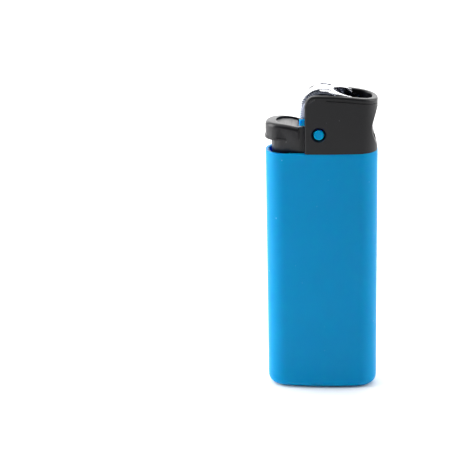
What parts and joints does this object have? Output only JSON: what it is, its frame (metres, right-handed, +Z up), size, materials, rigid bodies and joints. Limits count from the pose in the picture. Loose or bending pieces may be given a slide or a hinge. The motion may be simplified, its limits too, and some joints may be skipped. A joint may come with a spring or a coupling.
{
  "type": "flint spark lighter",
  "caption": "Pocket gas lighter with a slim rounded tank, hood with scooped front, flint spark wheel between thumb wheels, sheet-metal flame shield and press lever.",
  "frame": {"origin": "centre of the base, on the surface that the lighter stands on", "axes": "+Z up to the flame, +X towards the flame end, -X towards the lever, +Y across the body to the side with the open end of the air slot"},
  "size_m": [0.0221, 0.0094, 0.0621],
  "materials": {
    "blue_plastic": "satin moulded",
    "black_hood": "moulded, satin sides, polished edge",
    "black_lever": "satin moulded",
    "shield_sheet": "bright nickel plated",
    "wheel_steel": "hardened, knurled",
    "axle_steel": "turned",
    "spring_steel": "drawn wire",
    "flint_rod": "matte",
    "housing_metal": "turned",
    "nozzle_brass": "turned",
    "seal_rubber": "matte",
    "membrane_foam": "porous",
    "wick_fibre": "woven fibre"
  },
  "bodies": {
    "body": {"tank_shell": "blue_plastic", "tank_head": "blue_plastic", "hood": "black_hood", "flame_shield": "shield_sheet", "valve_housing": "housing_metal", "housing_o_ring": "seal_rubber", "stem_o_ring": "seal_rubber", "valve_spring": "spring_steel", "flint_spring": "spring_steel", "gas_membrane": "membrane_foam", "membrane_retainer": "housing_metal", "gas_wick": "wick_fibre"},
    "wheel_set": {"spark_wheel": "wheel_steel", "thumb_wheel_near": "wheel_steel", "thumb_wheel_far": "wheel_steel", "wheel_axle": "axle_steel"},
    "lever": {"lever": "black_lever"},
    "nozzle": {"nozzle": "nozzle_brass", "valve_seal": "seal_rubber"},
    "flint": {"flint": "flint_rod"}
  },
  "joints": [
    {"name": "wheel_spin", "type": "hinge", "parent": "body", "child": "wheel_set", "pos_m": [0.0003, 0, 0.0574], "axis": [0, 1, 0], "continuous": true},
    {"name": "lever_press", "type": "hinge", "parent": "body", "child": "lever", "pos_m": [-0.0015, 0, 0.0483], "axis": [0, -1, 0], "range_deg": [0, 7], "stiffness_Nm_per_rad": 0.2, "springref_deg": -5.73},
    {"name": "nozzle_lift", "type": "slide", "parent": "body", "child": "nozzle", "axis": [0, 0, 1], "range_m": [0, 0.00095], "deforming": ["valve_spring"]},
    {"name": "flint_feed", "type": "slide", "parent": "body", "child": "flint", "axis": [0, 0, 1], "range_m": [-0.0008, 0], "stiffness_N_per_m": 300, "springref_m": 0.008, "deforming": ["flint_spring"]}
  ],
  "couplings": [
    {"joint": "nozzle_lift", "follows": "lever_press", "m_per_rad": 0.0077}
  ]
}
